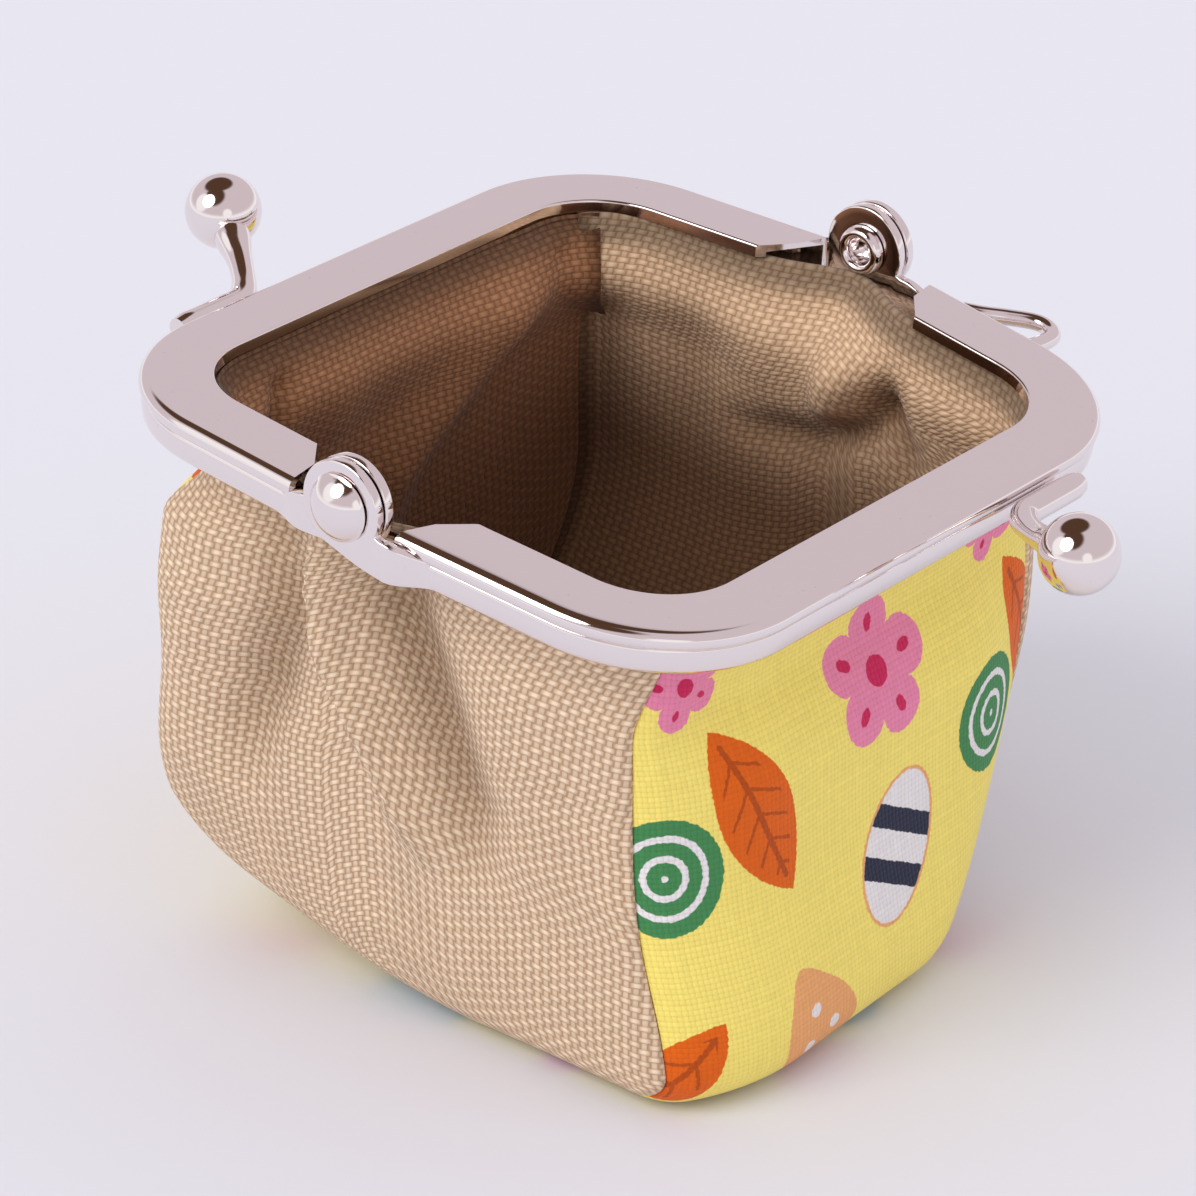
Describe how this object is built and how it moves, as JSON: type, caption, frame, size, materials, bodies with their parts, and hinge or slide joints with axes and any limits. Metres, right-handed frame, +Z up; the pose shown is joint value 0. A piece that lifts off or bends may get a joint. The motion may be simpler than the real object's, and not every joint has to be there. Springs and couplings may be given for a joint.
{
  "type": "purse",
  "caption": "Boxy cloth coin purse with a canvas lining, standing open; the hinged halves of a plated snap-lock clasp frame close over its mouth, with ball knobs and a strap loop.",
  "frame": {"origin": "middle of the base, on the floor", "axes": "+Z up out of the mouth; the hinge line runs along X; the printed front faces -Y; +X is to the right seen from the front"},
  "size_m": [0.0812, 0.099, 0.0623],
  "materials": {
    "plated_steel": "bright plating",
    "paper_cord": "twisted paper, matt",
    "yellow_cloth": "plain-weave printed cotton",
    "tan_canvas": "plain-weave canvas"
  },
  "bodies": {
    "pouch": {"outer_strip": "yellow_cloth", "lining_strip": "tan_canvas", "left_gusset": "tan_canvas", "right_gusset": "tan_canvas", "left_gusset_lining": "tan_canvas", "right_gusset_lining": "tan_canvas", "left_hinge_rivet": "plated_steel", "right_hinge_rivet": "plated_steel"},
    "front_half": {"front_frame": "plated_steel", "front_lock_ball": "plated_steel", "front_lock_stem": "plated_steel", "front_paper_cord": "paper_cord", "strap_loop": "plated_steel"},
    "rear_half": {"rear_frame": "plated_steel", "rear_lock_ball": "plated_steel", "rear_lock_stem": "plated_steel", "rear_paper_cord": "paper_cord"}
  },
  "joints": [
    {"name": "front_half_hinge", "type": "hinge", "parent": "pouch", "child": "front_half", "pos_m": [0, -0.0026, 0.0544], "axis": [-1, 0, 0], "range_deg": [0, 99.6]},
    {"name": "rear_half_hinge", "type": "hinge", "parent": "pouch", "child": "rear_half", "pos_m": [0, -0.0026, 0.0544], "axis": [1, 0, 0], "range_deg": [0, 86.5]}
  ]
}
